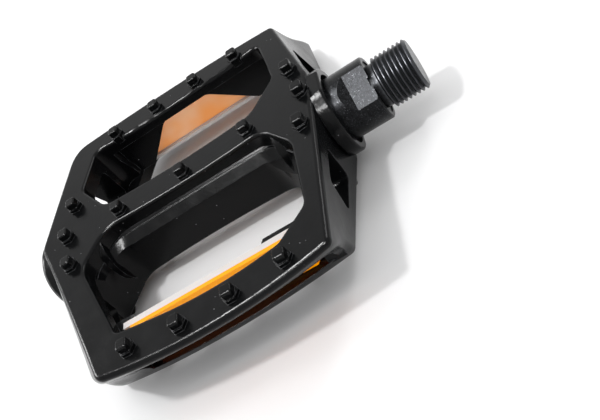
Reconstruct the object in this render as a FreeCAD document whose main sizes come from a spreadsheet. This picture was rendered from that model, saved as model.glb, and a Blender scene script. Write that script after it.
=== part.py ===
import FreeCAD, Part
import math
import os

import Sketcher
from FreeCAD import Placement, Rotation, Vector

# Flat platform pedal for the right-hand crank.
# X runs along the axle and +X points at the crank; +Z is up; Y runs fore and aft.
# The origin lies on the axle axis, in the shoulder face that meets the crank.
# The casting is its own image after half a turn about the axle, so each feature of the
# upper face is modelled once and repeated, turned over, on the lower face.
# "Far" is the +Y side of the upper face and "near" its -Y side.

SIZES = [
    ("thread_major_radius", 7.144, "9/16 inch crank thread, crest radius"),
    ("thread_pitch", 1.27, "20 threads per inch"),
    ("thread_length", 11.8, "shoulder face to the end of the thread"),
    ("thread_end_chamfer", 0.7, "chamfer at the free end"),
    ("neck_radius", 6.1, "relief between shoulder and thread"),
    ("neck_length", 1.5, "relief between shoulder and thread"),
    ("undercut_depth", 0.4, "undercut in the shoulder face around the neck"),
    ("undercut_margin", 0.45, "undercut's edge past the crests of the crank thread"),
    ("collar_radius", 9.0, "collar that meets the crank"),
    ("collar_length", 12.5, "collar that meets the crank"),
    ("collar_bevel", 0.4, "bevel on both collar edges"),
    ("flats_across", 15.0, "spanner flats"),
    ("flats_length", 6.0, "spanner flats, from the shoulder face"),
    ("flats_runout", 2.8, "slope that leads each flat out to the collar"),
    ("flats_roll", 37.0, "how far the flats are rolled from level, degrees"),
    ("shaft_crank_radius", 5.0, "tapering shaft beside the inner race"),
    ("shaft_outer_radius", 4.2, "tapering shaft beside the outer thread"),
    ("outer_thread_radius", 4.0, "thread for cone and lock nut"),
    ("shaft_step_length", 0.6, "slope from the outer thread up to the shaft"),
    ("shaft_step_setback", 0.4, "cone's narrow end to that slope"),
    ("shaft_end_past_nut", 0.8, "end of the spindle past the lock nut"),
    ("shaft_end_chamfer", 0.5, "chamfer at the outer end of the spindle"),
    ("thread_clearance", 0.02, "radial play of parts screwed on the outer thread"),
    ("key_width", 1.8, "keyway for the lock washer"),
    ("key_depth", 0.9, "keyway for the lock washer"),
    ("key_clearance", 0.1, "play of the washer tab in the keyway"),
    ("ball_radius", 1.5875, "1/8 inch balls"),
    ("race_clearance", 0.06, "groove radius less ball radius"),
    ("race_step", 0.3, "shoulder beside each groove, above its deepest line"),
    ("race_shoulder", 2.0, "shoulder beside the spindle's groove"),
    ("race_slope", 1.0, "slope from that shoulder down to the shaft"),
    ("inner_ball_x", 17.5, "shoulder face to the inner ball circle"),
    ("inner_pitch_radius", 6.6, "inner ball circle"),
    ("outer_ball_setback", 11.2, "outer end of the casting to the outer ball circle"),
    ("outer_pitch_radius", 6.6, "outer ball circle"),
    ("inner_cup_radius", 9.7, "outside of the inner cup"),
    ("outer_cup_radius", 9.2, "outside of the outer cup"),
    ("cup_lip", 1.4, "ball circle to the open end of each cup"),
    ("cup_back", 2.8, "ball circle to the closed end of each cup"),
    ("cup_running_gap", 0.5, "radial gap between a cup's bore and what turns in it"),
    ("cone_nose", 1.2, "ball circle to the narrow end of the cone"),
    ("cone_length", 4.2, "ball circle to the wide end of the cone"),
    ("cone_land", 2.4, "full-width part of the cone"),
    ("cone_chamfer", 0.6, "chamfer beside the cone's full-width part"),
    ("washer_radius", 6.2, "lock washer"),
    ("washer_thickness", 0.8, "lock washer"),
    ("nut_across_flats", 11.0, "lock nut"),
    ("nut_thickness", 3.0, "lock nut"),
    ("seal_radial_gap", 0.35, "inner dust seal to the spindle's journal"),
    ("seal_setback", 0.5, "collar end to the dust seal"),
    ("seal_thickness", 1.5, "inner dust seal"),
    ("mouth_radius", 10.3, "recess in the boss for the collar and seal"),
    ("ring_radius", 12.3, "rim around the mouth of the boss"),
    ("ring_x", 11.0, "shoulder face to the rim's face"),
    ("ring_width", 3.6, "rim around the mouth of the boss"),
    ("ring_rounding", 0.7, "rounding of the rim"),
    ("hub_radius", 11.0, "boss around the inner bearing"),
    ("hub_length", 18.0, "boss around the inner bearing, from the rim's face"),
    ("tube_radius", 6.4, "axle tube between the bearings"),
    ("tube_bore_radius", 5.6, "axle tube between the bearings"),
    ("outer_boss_radius", 11.3, "boss around the outer bearing"),
    ("boss_past_tip", 1.8, "outer boss past the outermost corner of the platform"),
    ("outer_boss_length", 21.0, "boss around the outer bearing"),
    ("outer_boss_rounding", 1.4, "rounding of the outer boss"),
    ("cap_flange_radius", 9.8, "dust cap's flange on the end of the boss"),
    ("cap_flange", 1.0, "dust cap's flange on the end of the boss"),
    ("cap_thickness", 1.4, "dust cap's disc"),
    ("cap_skirt", 2.4, "dust cap's skirt behind the disc"),
    ("cap_wall", 1.2, "dust cap's skirt"),
    ("cap_rounding", 0.7, "dust cap's rim"),
    ("outline_margin", 0.31, "tread at the tip to the height where the outline is set out"),
    ("cut_margin", 10.0, "how far a cutter reaches past what it cuts"),
    ("casting_root", 0.8, "how far walls and ribs run into what carries them"),
    ("dish_height", 9.0, "half thickness at the middle of the platform"),
    ("dish_radius", 381.0, "hollow curve of each tread face along the axle"),
    ("dish_x", 57.0, "shoulder face to the lowest line of the tread"),
    ("plate_inner_height", 5.8, "inner face of each tread plate above the axle plane"),
    ("crank_neck_x", 14.2, "crank end wall beside the boss"),
    ("neck_far_y", 8.5, "where the crank end wall turns, far side"),
    ("neck_near_y", 3.0, "where the crank end wall turns, near side"),
    ("far_crank_x", 21.6, "far rail's corner at the crank end"),
    ("far_crank_y", 36.5, "far rail's corner at the crank end"),
    ("far_outer_setback", 8.0, "far rail's corner at the outer end, behind the tip"),
    ("far_outer_y", 38.2, "far rail's corner at the outer end"),
    ("far_middle_x", 58.0, "fullest point of the far rail"),
    ("far_middle_y", 41.0, "fullest point of the far rail"),
    ("near_crank_x", 18.3, "near rail's corner at the crank end"),
    ("near_crank_y", 52.7, "near rail's corner at the crank end"),
    ("near_outer_setback", 24.1, "near rail's corner at the outer end, behind the tip"),
    ("near_outer_y", 54.7, "near rail's corner at the outer end"),
    ("near_middle_x", 51.0, "fullest point of the near rail"),
    ("near_middle_y", 57.4, "fullest point of the near rail"),
    ("tip_x", 105.4, "outermost corner of the platform"),
    ("tip_y", 0.8, "outermost corner of the platform"),
    ("tip_swell", 3.2, "how far the outer end wall swells at mid height, at the tip"),
    ("rail_lip_depth", 2.2, "lip along the overhanging rail, below the plate's inner face"),
    ("rail_lip_thickness", 2.0, "thickness of that lip"),
    ("rail_edge_fullness", 1.6, "how far the overhanging rails' outer faces stand steeper"),
    ("corner_swell", 4.2, "how far the outer end wall swells at mid height, at its ends"),
    ("tip_rounding", 6.0, "corner rounding at the tip"),
    ("neck_rounding", 6.0, "corner rounding where the crank end wall turns"),
    ("corner_rounding", 2.0, "corner rounding at the crank end"),
    ("sharp_rounding", 1.7, "corner rounding where the near rail meets the outer end"),
    ("full_rounding", 6.5, "corner rounding where the far rail meets the outer end"),
    ("edge_rounding", 1.2, "rounding around each tread face"),
    ("rim_rounding", 0.9, "rounding of the openings' rims"),
    ("bar_far_y", 6.8, "middle bar's far edge"),
    ("bar_near_y", 3.2, "middle bar's near edge"),
    ("bar_waist", 7.2, "middle bar's walls at mid height, around the axle tube"),
    ("bar_waist_height", 2.6, "half height of the bar's fullest part"),
    ("far_opening_y", 34.2, "far opening's outer edge"),
    ("far_open_crank_x", 27.2, "far opening's outer edge, crank end"),
    ("far_open_crank_bend_x", 24.7, "far opening's bend at the crank end"),
    ("far_open_crank_bend_y", 15.0, "far opening's bend at the crank end"),
    ("far_open_bar_x", 33.5, "far opening along the bar, crank end"),
    ("far_open_outer_setback", 16.8, "far opening's outer edge to the tip"),
    ("far_open_bend_setback", 12.6, "far opening's bend at the outer end to the tip"),
    ("far_open_bend_y", 18.5, "far opening's bend at the outer end"),
    ("far_open_bar_setback", 20.9, "far opening along the bar, outer end to the tip"),
    ("near_opening_y", 45.7, "near opening's outer edge at its fullest"),
    ("near_open_crank_bow", 1.9, "how far that edge bows out, from its crank end"),
    ("near_open_outer_bow", 3.1, "how far that edge bows out, from its outer end"),
    ("near_open_middle_x", 50.0, "fullest point of that edge"),
    ("near_open_corner_x", 31.5, "near opening's outer edge, crank end"),
    ("near_open_crank_x", 22.9, "near opening's side at the crank end"),
    ("near_open_crank_y", 37.5, "where that side meets the chamfered corner"),
    ("near_open_bend_y", 15.0, "near opening's bend at the crank end"),
    ("near_open_bar_x", 31.0, "near opening along the bar, crank end"),
    ("near_open_outer_setback", 25.6, "near opening's outer edge to the tip"),
    ("near_outer_bend_setback", 13.9, "near opening's bend at the outer end to the tip"),
    ("near_outer_bend_y", 14.5, "near opening's bend at the outer end"),
    ("near_open_bar_setback", 21.4, "near opening along the bar, outer end to the tip"),
    ("opening_rounding", 3.0, "small corner rounding of the openings"),
    ("bar_rounding", 6.0, "far opening's corner roundings at the bar"),
    ("sweep_rounding", 8.0, "near opening's corner roundings along the bar and the ends"),
    ("bow_rounding", 160.0, "curve of the near opening's outer edge"),
    ("cavity_rounding", 0.5, "small corner rounding of the side cavity"),
    ("window_start_y", 18.2, "end windows, axle to the nearer edge"),
    ("window_end_y", 29.8, "end windows, axle to the farther edge"),
    ("crank_window_x", 26.0, "shoulder face to the back of the crank end window"),
    ("outer_window_setback", 17.4, "back of the outer end window to the tip"),
    ("window_height", 11.2, "end windows"),
    ("window_rounding", 1.5, "end windows"),
    ("gusset_step", 1.5, "far opening's outer edge back to the wall behind each reflector"),
    ("gusset_thickness", 1.8, "wall behind each reflector"),
    ("gusset_setback", 21.4, "outer end of the wall behind each reflector to the tip"),
    ("gusset_window_half", 8.0, "half the top width of the gap in that wall"),
    ("gusset_window_x", 57.6, "middle of the gap in that wall"),
    ("gusset_window_spread", 13.2, "how much wider the gap is at its open end"),
    ("gusset_window_top", 5.2, "top of the gap in that wall"),
    ("gusset_window_rounding", 5.0, "rounding of the gap's upper corners"),
    ("rib_thickness", 2.4, "rib that closes each end of the reflector's pocket"),
    ("rib_reach", 0.7, "how far the ribs stand past the lens"),
    ("pocket_crank_x", 27.0, "crank end of the reflector's pocket"),
    ("pocket_setback", 25.5, "outer end of the reflector's pocket to the tip"),
    ("pocket_clearance", 0.3, "reflector to its pocket, on every side"),
    ("housing_depth", 1.9, "reflector housing, flange edge to lens"),
    ("housing_back", 0.9, "reflector housing's plate behind the lens"),
    ("housing_flange", 1.1, "reflector housing's top and bottom flanges"),
    ("reflector_drop", 6.5, "reflector's open side, from the axle plane"),
    ("lens_thickness", 1.2, "reflector lens"),
    ("lens_corner", 2.2, "cut corners of the lens"),
    ("stud_across", 4.2, "hexagonal pad under each stud"),
    ("stud_pad_height", 1.0, "hexagonal pad under each stud"),
    ("stud_width", 3.2, "square peg of each stud"),
    ("stud_height", 3.0, "stud above the tread"),
    ("stud_rounding", 0.45, "rounding of the peg's top"),
    ("stud_side_rounding", 0.8, "rounding of the peg's corners"),
    ("stud_root", 1.6, "how deep each stud is rooted in the plate"),
    ("rail_stud_pitch", 15.0, "studs along both rails"),
    ("far_stud_x", 35.1, "far rail's stud nearest the crank"),
    ("far_stud_y", 35.8, "far rail's end studs"),
    ("far_stud_bow", 1.6, "how far the row bows out with the far rail"),
    ("near_stud_x", 30.4, "near rail's stud nearest the crank"),
    ("near_stud_y", 49.8, "near rail's end studs"),
    ("near_stud_bow", 1.2, "how far the row bows out with the near rail"),
    ("bar_stud_x", 35.0, "middle bar's stud nearest the crank"),
    ("bar_stud_pitch", 21.75, "studs along the middle bar"),
    ("bar_stud_y", 0.5, "studs along the middle bar"),
    ("end_stud_spacing", 11.9, "studs across each end"),
    ("end_stud_y", 0.3, "middle stud of each end"),
    ("crank_stud_x", 16.9, "middle stud of the crank end"),
    ("outer_stud_setback", 8.9, "middle stud of the outer end, behind the tip"),
    ("end_stud_setback", 1.8, "how far the side studs of each end stand back"),
]

BALL_COUNT = 12
THREAD_CRESTS = 8
STUDS_PER_RAIL = 4
STUDS_ON_BAR = 3

doc = FreeCAD.newDocument("FlatPedal")
sheet = doc.addObject("Spreadsheet::Sheet", "Sizes")
for row, (alias, value, meaning) in enumerate(SIZES, start=1):
    sheet.set(f"A{row}", meaning)
    sheet.set(f"B{row}", str(value))
    sheet.setAlias(f"B{row}", alias)
doc.recompute()


def size(alias):
    """Return one value of the sheet in millimetres or degrees."""
    return float(sheet.get(alias))


def bound(formula):
    """Turn a formula of aliases, written with a leading $, into a document expression."""
    return formula.replace("$", "Sizes.")


def value(formula):
    """Work a formula of aliases out to a number."""
    return float(sheet.evalExpression(bound(formula)))


# ---------------------------------------------------------------- turned and plain pieces


def origin_plane(body, role):
    """Return one of a body's own origin planes."""
    for feature in body.Origin.OriginFeatures:
        if feature.Role == role:
            return feature
    raise ValueError(role)


def new_body(label):
    """Add an empty body whose label is its node name."""
    body = doc.addObject("PartDesign::Body", label)
    body.Label = label
    return body


def new_sketch(body, name, role, offset="0"):
    """Add a sketch on an origin plane, moved along the plane's normal."""
    sketch = body.newObject("Sketcher::SketchObject", name)
    sketch.AttachmentSupport = (origin_plane(body, role), "")
    sketch.MapMode = "FlatFace"
    sketch.setExpression("AttachmentOffset.Base.z", bound(offset))
    return sketch


def draw_outline(sketch, corners):
    """Draw a closed outline and bind both coordinates of each corner to the sheet."""
    points = []
    for across, up in corners:
        first = float(sketch.evalExpression(bound(across)))
        second = float(sketch.evalExpression(bound(up)))
        points.append(Vector(first, second, 0))
    start = sketch.GeometryCount
    for index, point in enumerate(points):
        following = points[(index + 1) % len(points)]
        sketch.addGeometry(Part.LineSegment(point, following), False)
    for index, (across, up) in enumerate(corners):
        line = start + index
        following = start + (index + 1) % len(points)
        sketch.addConstraint(Sketcher.Constraint("Coincident", line, 2, following, 1))
        for kind, formula, number in (
            ("DistanceX", across, points[index].x),
            ("DistanceY", up, points[index].y),
        ):
            place = sketch.addConstraint(Sketcher.Constraint(kind, -1, 1, line, 1, number))
            sketch.setExpression(f"Constraints[{place}]", bound(formula))


def draw_circle(sketch, radius):
    """Draw a circle about the sketch's origin with its radius bound to the sheet."""
    number = float(sketch.evalExpression(bound(radius)))
    line = sketch.addGeometry(Part.Circle(Vector(0, 0, 0), Vector(0, 0, 1), number), False)
    sketch.addConstraint(Sketcher.Constraint("Coincident", line, 3, -1, 1))
    place = sketch.addConstraint(Sketcher.Constraint("Radius", line, number))
    sketch.setExpression(f"Constraints[{place}]", bound(radius))


def turned_body(label, profile):
    """Revolve a profile of (place along X, radius) formulas about the axle."""
    body = new_body(label)
    sketch = new_sketch(body, label + "_profile", "XY_Plane")
    draw_outline(sketch, profile)
    revolution = body.newObject("PartDesign::Revolution", label + "_turned")
    revolution.Profile = sketch
    revolution.ReferenceAxis = (sketch, ["H_Axis"])
    revolution.Angle = 360
    return body


def padded(body, sketch, length):
    """Pad a sketch along its normal by a bound length."""
    pad = body.newObject("PartDesign::Pad", sketch.Name + "_pad")
    pad.Profile = sketch
    pad.setExpression("Length", bound(length))
    return pad


def cut_race(body, name, ball_x, pitch_radius):
    """Cut the round groove that the balls run in."""
    race = body.newObject("PartDesign::SubtractiveTorus", name)
    race.AttachmentSupport = (origin_plane(body, "YZ_Plane"), "")
    race.MapMode = "FlatFace"
    race.setExpression("AttachmentOffset.Base.z", bound(ball_x))
    race.setExpression("Radius1", bound(pitch_radius))
    race.setExpression("Radius2", bound("$ball_radius + $race_clearance"))


# Places along the axle that several pieces share.
OUTER_BOSS = "($tip_x + $boss_past_tip)"
OUTER_BALL = f"({OUTER_BOSS} - $outer_ball_setback)"
CONE_END = f"-({OUTER_BALL} + $cone_length)"
WASHER_END = f"({CONE_END} - $washer_thickness)"
SHAFT_END = f"({WASHER_END} - $nut_thickness - $shaft_end_past_nut)"
THREAD_START = f"-({OUTER_BALL} - $cone_nose - $shaft_step_setback)"
GROOVE = "($ball_radius + $race_clearance)"


def thread_profile():
    """List the corners of the ring-shaped threads from the shoulder to the free end."""
    depth = "0.6134 * $thread_pitch"
    corners = []
    for turn in range(THREAD_CRESTS - 1):
        start = f"$neck_length + {turn} * $thread_pitch"
        corners.append((f"{start} + 0.45 * $thread_pitch", "$thread_major_radius"))
        corners.append((f"{start} + 0.60 * $thread_pitch", "$thread_major_radius"))
        corners.append((f"{start} + 1.00 * $thread_pitch", f"$thread_major_radius - {depth}"))
    return corners


def make_spindle():
    """Turn the spindle, then mill its spanner flats and keyway."""
    shoulder = f"$inner_pitch_radius - {GROOVE} + $race_step"
    undercut = "$thread_major_radius + $undercut_margin"
    profile = [
        (SHAFT_END, "0"),
        (SHAFT_END, "$outer_thread_radius - $shaft_end_chamfer"),
        (SHAFT_END + " + $shaft_end_chamfer", "$outer_thread_radius"),
        (THREAD_START, "$outer_thread_radius"),
        (THREAD_START + " + $shaft_step_length", "$shaft_outer_radius"),
        ("-($inner_ball_x + $race_shoulder + $race_slope)", "$shaft_crank_radius"),
        ("-($inner_ball_x + $race_shoulder)", shoulder),
        ("-$inner_ball_x", shoulder),
        ("-$inner_ball_x", "$inner_pitch_radius"),
        ("-$collar_length", "$inner_pitch_radius"),
        ("-$collar_length", "$collar_radius - $collar_bevel"),
        ("-$collar_length + $collar_bevel", "$collar_radius"),
        ("-$collar_bevel", "$collar_radius"),
        ("0", "$collar_radius - $collar_bevel"),
        ("0", undercut),
        ("-$undercut_depth", undercut),
        ("-$undercut_depth", "$neck_radius"),
        ("$neck_length", "$neck_radius"),
    ]
    profile += thread_profile()
    last_crest = f"$neck_length + {THREAD_CRESTS - 1} * $thread_pitch + 0.45 * $thread_pitch"
    profile += [
        (last_crest, "$thread_major_radius"),
        ("$thread_length - $thread_end_chamfer", "$thread_major_radius"),
        ("$thread_length", "$thread_major_radius - $thread_end_chamfer"),
        ("$thread_length", "0"),
    ]
    body = turned_body("spindle", profile)
    cut_race(body, "spindle_race", "-$inner_ball_x", "$inner_pitch_radius")
    mill_flats(body)
    cut_keyway(body)
    return body


def mill_flats(body):
    """Cut both spanner flats, each with a slope that runs out to the collar."""
    sketch = new_sketch(body, "spindle_flats", "XY_Plane")
    sketch.AttachmentOffset = Placement(Vector(0, 0, 0), Rotation(Vector(1, 0, 0), 90))
    sketch.setExpression("AttachmentOffset.Rotation.Angle", bound("90 + $flats_roll"))
    for side in ("", "-"):
        clear = f"{side}($collar_radius + 1)"
        draw_outline(sketch, [
            ("1", f"{side}$flats_across / 2"),
            ("-$flats_length", f"{side}$flats_across / 2"),
            ("-($flats_length + $flats_runout)", f"{side}$collar_radius"),
            ("-($flats_length + $flats_runout)", clear),
            ("1", clear),
        ])
    pocket = body.newObject("PartDesign::Pocket", "spindle_flats_cut")
    pocket.Profile = sketch
    pocket.Type = "ThroughAll"
    pocket.Midplane = True


def cut_keyway(body):
    """Cut the slot that keeps the lock washer from turning."""
    slot = body.newObject("PartDesign::SubtractiveBox", "spindle_keyway")
    slot.AttachmentSupport = (origin_plane(body, "YZ_Plane"), "")
    slot.MapMode = "FlatFace"
    slot.setExpression("AttachmentOffset.Base.x", bound("-$key_width / 2"))
    slot.setExpression("AttachmentOffset.Base.y", bound("$outer_thread_radius - $key_depth"))
    slot.setExpression("AttachmentOffset.Base.z", bound(SHAFT_END + " - 1"))
    slot.setExpression("Length", bound("$key_width"))
    slot.setExpression("Width", bound("$key_depth + 1"))
    slot.setExpression("Height", bound("$cone_length + $washer_thickness + $nut_thickness + 1"))


def make_cup(label, ball_x, pitch_radius, radius, facing):
    """Turn a bearing cup; facing is +1 when its open end points at the crank."""
    sign = "+" if facing > 0 else "-"
    back = f"-{ball_x} {'-' if facing > 0 else '+'} $cup_back"
    lip = f"-{ball_x} {sign} $cup_lip"
    entry = f"{pitch_radius} + {GROOVE} - $race_step"
    bore = f"{pitch_radius} - {GROOVE} + $race_step + $cup_running_gap"
    body = turned_body(label, [
        (back, bore),
        (back, radius),
        (lip, radius),
        (lip, entry),
        (f"-{ball_x}", entry),
        (f"-{ball_x}", bore),
    ])
    cut_race(body, label + "_race", f"-{ball_x}", pitch_radius)
    return body


def make_outer_cone():
    """Turn the adjusting cone that carries the outer balls."""
    bore = "$outer_thread_radius + $thread_clearance"
    nose = f"-{OUTER_BALL} + $cone_nose"
    land_end = f"-{OUTER_BALL} - $cone_land"
    shoulder = f"$outer_pitch_radius - {GROOVE} + $race_step"
    body = turned_body("outer_cone", [
        (nose, bore),
        (nose, shoulder),
        (f"-{OUTER_BALL}", shoulder),
        (f"-{OUTER_BALL}", "$outer_pitch_radius"),
        (land_end, "$outer_pitch_radius"),
        (f"{land_end} - $cone_chamfer", "$outer_pitch_radius - $cone_chamfer"),
        (CONE_END, "$outer_pitch_radius - $cone_chamfer"),
        (CONE_END, bore),
    ])
    cut_race(body, "outer_cone_race", f"-{OUTER_BALL}", "$outer_pitch_radius")
    return body


def make_lock_washer():
    """Pad the washer and the tab that sits in the spindle's keyway."""
    body = new_body("lock_washer")
    ring = new_sketch(body, "lock_washer_ring", "YZ_Plane", WASHER_END)
    draw_circle(ring, "$washer_radius")
    draw_circle(ring, "$outer_thread_radius + $thread_clearance")
    padded(body, ring, "$washer_thickness")
    tab = new_sketch(body, "lock_washer_tab", "YZ_Plane", WASHER_END)
    half = "($key_width / 2 - $key_clearance)"
    foot = "$outer_thread_radius - $key_depth + $key_clearance"
    draw_outline(tab, [
        (f"-{half}", foot),
        (half, foot),
        (half, "$outer_thread_radius + 1"),
        (f"-{half}", "$outer_thread_radius + 1"),
    ])
    padded(body, tab, "$washer_thickness")
    return body


def make_lock_nut():
    """Pad a plain hexagonal nut."""
    body = new_body("lock_nut")
    plan = new_sketch(body, "lock_nut_plan", "YZ_Plane", WASHER_END + " - $nut_thickness")
    reach = "$nut_across_flats / 2 / cos(30 deg)"
    corners = []
    for corner in range(6):
        corners.append((f"{reach} * cos({60 * corner} deg)", f"{reach} * sin({60 * corner} deg)"))
    draw_outline(plan, corners)
    draw_circle(plan, "$outer_thread_radius + $thread_clearance")
    padded(body, plan, "$nut_thickness")
    return body


def make_balls(label, ball_x, pitch_radius):
    """Set loose balls evenly around their circle."""
    balls = []
    for index in range(BALL_COUNT):
        ball = doc.addObject("Part::Sphere", f"{label}_{index + 1}")
        angle = f"{360 / BALL_COUNT * index} deg"
        ball.setExpression("Radius", bound("$ball_radius"))
        ball.setExpression("Placement.Base.x", bound(f"-{ball_x}"))
        ball.setExpression("Placement.Base.y", bound(f"{pitch_radius} * cos({angle})"))
        ball.setExpression("Placement.Base.z", bound(f"{pitch_radius} * sin({angle})"))
        balls.append(ball)
    group = doc.addObject("Part::Compound", label)
    group.Label = label
    group.Links = balls
    return group


def make_dust_seal():
    """Turn the flat ring that closes the inner bearing."""
    face = "-$collar_length - $seal_setback"
    return turned_body("inner_dust_seal", [
        (face, "$inner_pitch_radius + $seal_radial_gap"),
        (face, "$mouth_radius"),
        (f"{face} - $seal_thickness", "$mouth_radius"),
        (f"{face} - $seal_thickness", "$inner_pitch_radius + $seal_radial_gap"),
    ])


def make_dust_cap():
    """Turn the flanged cap that closes the outer bearing and round its rim."""
    seat = f"-{OUTER_BOSS}"
    face = f"{seat} - $cap_flange"
    back = f"{face} + $cap_thickness"
    skirt = f"{back} + $cap_skirt"
    body = turned_body("dust_cap", [
        (face, "0"),
        (face, "$cap_flange_radius"),
        (seat, "$cap_flange_radius"),
        (seat, "$outer_cup_radius"),
        (skirt, "$outer_cup_radius"),
        (skirt, "$outer_cup_radius - $cap_wall"),
        (back, "$outer_cup_radius - $cap_wall"),
        (back, "0"),
    ])
    doc.recompute()
    rim_x = value(face)
    turned = body.Tip
    rims = []
    for number, edge in enumerate(turned.Shape.Edges, start=1):
        if abs(edge.BoundBox.XMin - rim_x) < 1e-6 and abs(edge.BoundBox.XMax - rim_x) < 1e-6:
            rims.append(f"Edge{number}")
    rounding = body.newObject("PartDesign::Fillet", "dust_cap_rim")
    rounding.Base = (turned, rims)
    rounding.setExpression("Radius", bound("$cap_rounding"))
    return body


# ---------------------------------------------------------------- reflectors

BACK_OF_POCKET = "($far_opening_y + $gusset_step + $gusset_thickness + $pocket_clearance)"
REFLECTOR_TOP = "($plate_inner_height - $pocket_clearance)"
REFLECTOR_FOOT = "-$reflector_drop"
REFLECTOR_CRANK_END = "-($pocket_crank_x + $pocket_clearance)"
REFLECTOR_LENGTH = "($tip_x - $pocket_setback - $pocket_crank_x - 2 * $pocket_clearance)"


def half_turn():
    """Placement that turns a piece of the far side over to the near side."""
    return Placement(Vector(0, 0, 0), Rotation(Vector(1, 0, 0), 180))


def make_housing(label, turned_over):
    """Pad the channel that holds a lens: a back plate with two flanges."""
    body = new_body(label)
    outer_end = f"{REFLECTOR_CRANK_END} - {REFLECTOR_LENGTH}"
    channel = new_sketch(body, label + "_channel", "YZ_Plane", outer_end)
    back = BACK_OF_POCKET
    plate = f"{back} + $housing_depth - $housing_back"
    front = f"{back} + $housing_depth"
    draw_outline(channel, [
        (back, REFLECTOR_FOOT),
        (front, REFLECTOR_FOOT),
        (front, REFLECTOR_TOP),
        (back, REFLECTOR_TOP),
        (back, f"{REFLECTOR_TOP} - $housing_flange"),
        (plate, f"{REFLECTOR_TOP} - $housing_flange"),
        (plate, f"{REFLECTOR_FOOT} + $housing_flange"),
        (back, f"{REFLECTOR_FOOT} + $housing_flange"),
    ])
    padded(body, channel, REFLECTOR_LENGTH)
    if turned_over:
        body.Placement = half_turn()
    return body


def make_lens(label, turned_over):
    """Pad the lens plate with its cut corners."""
    body = new_body(label)
    plan = new_sketch(body, label + "_plan", "XZ_Plane", f"-({BACK_OF_POCKET} + $housing_depth)")
    crank = REFLECTOR_CRANK_END
    outer = f"{REFLECTOR_CRANK_END} - {REFLECTOR_LENGTH}"
    top = REFLECTOR_TOP
    foot = REFLECTOR_FOOT
    draw_outline(plan, [
        (f"{outer} + $lens_corner", foot),
        (f"{crank} - $lens_corner", foot),
        (crank, f"{foot} + $lens_corner"),
        (crank, f"{top} - $lens_corner"),
        (f"{crank} - $lens_corner", top),
        (f"{outer} + $lens_corner", top),
        (outer, f"{top} - $lens_corner"),
        (outer, f"{foot} + $lens_corner"),
    ])
    pad = padded(body, plan, "$lens_thickness")
    pad.Reversed = True
    if turned_over:
        body.Placement = half_turn()
    return body


# ---------------------------------------------------------------- casting
# The side walls lean and twist from the upper outline to the lower one, which no sketch
# feature makes, so the casting is worked out here from the sheet with solid operations.


def turned_over(shape):
    """Return a copy of a shape after half a turn about the axle."""
    copy = shape.copy()
    copy.rotate(Vector(0, 0, 0), Vector(1, 0, 0), 180)
    return copy


def both_faces(shapes):
    """Return shapes of the upper face together with their images on the lower face."""
    return list(shapes) + [turned_over(shape) for shape in shapes]


def axle_cylinder(radius, start_x, end_x):
    """Cylinder about the axle between two distances from the shoulder face."""
    length = end_x - start_x
    return Part.makeCylinder(radius, length, Vector(-end_x, 0, 0), Vector(1, 0, 0))


def outline_corners():
    """Corners of the upper outline, in order from the far corner at the crank end."""
    tip_x = size("tip_x")
    return {
        "far_crank": (-size("far_crank_x"), size("far_crank_y")),
        "neck_far": (-size("crank_neck_x"), size("neck_far_y")),
        "neck_near": (-size("crank_neck_x"), -size("neck_near_y")),
        "near_crank": (-size("near_crank_x"), -size("near_crank_y")),
        "near_middle": (-size("near_middle_x"), -size("near_middle_y")),
        "near_outer": (size("near_outer_setback") - tip_x, -size("near_outer_y")),
        "tip": (-tip_x, size("tip_y")),
        "far_outer": (size("far_outer_setback") - tip_x, size("far_outer_y")),
        "far_middle": (-size("far_middle_x"), size("far_middle_y")),
    }


# Each upper corner and the one that lies under it once the outline is turned over.
PARTNERS = {
    "far_crank": "near_crank",
    "neck_far": "neck_near",
    "neck_near": "neck_far",
    "near_crank": "far_crank",
    "near_middle": "far_middle",
    "near_outer": "far_outer",
    "tip": "tip",
    "far_outer": "near_outer",
    "far_middle": "near_middle",
}


def outline_level(height):
    """Corners of the side walls' outline at one height."""
    corners = outline_corners()
    top = outline_height()
    inner = size("plate_inner_height")
    swells = {
        "tip": size("tip_swell"),
        "far_outer": size("corner_swell"),
        "near_outer": size("corner_swell"),
    }
    points = {}
    for name, partner in PARTNERS.items():
        upper = Vector(corners[name][0], corners[name][1], top)
        lower = Vector(corners[partner][0], -corners[partner][1], -top)
        point = lower + (upper - lower) * ((height + top) / (2 * top))
        point.x -= swells.get(name, 0) * (1 - (height / top) ** 2)
        if name.startswith("near") and height == inner:
            point.y -= size("rail_edge_fullness")
        if name.startswith("far") and height == -inner:
            point.y += size("rail_edge_fullness")
        points[name] = point
    return points


def outline_wire(points):
    """Join corners with straight lines, and with an arc through each rail's middle."""
    names = list(points)
    edges = []
    for index, name in enumerate(names):
        following = names[(index + 1) % len(names)]
        if name.endswith("middle"):
            before = points[names[index - 1]]
            edges.append(Part.Arc(before, points[name], points[following]).toShape())
        elif not following.endswith("middle"):
            edges.append(Part.LineSegment(points[name], points[following]).toShape())
    return Part.Wire(Part.sortEdges(edges)[0])


def corner_edge(solid, upper, lower):
    """Find the leaning edge between an upper and a lower corner."""
    for edge in solid.Edges:
        low, high = sorted((v.Point for v in edge.Vertexes), key=lambda point: point.z)
        if high.distanceToPoint(upper) < 1e-3 and low.distanceToPoint(lower) < 1e-3:
            return edge
    raise ValueError("corner edge not found")


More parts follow.
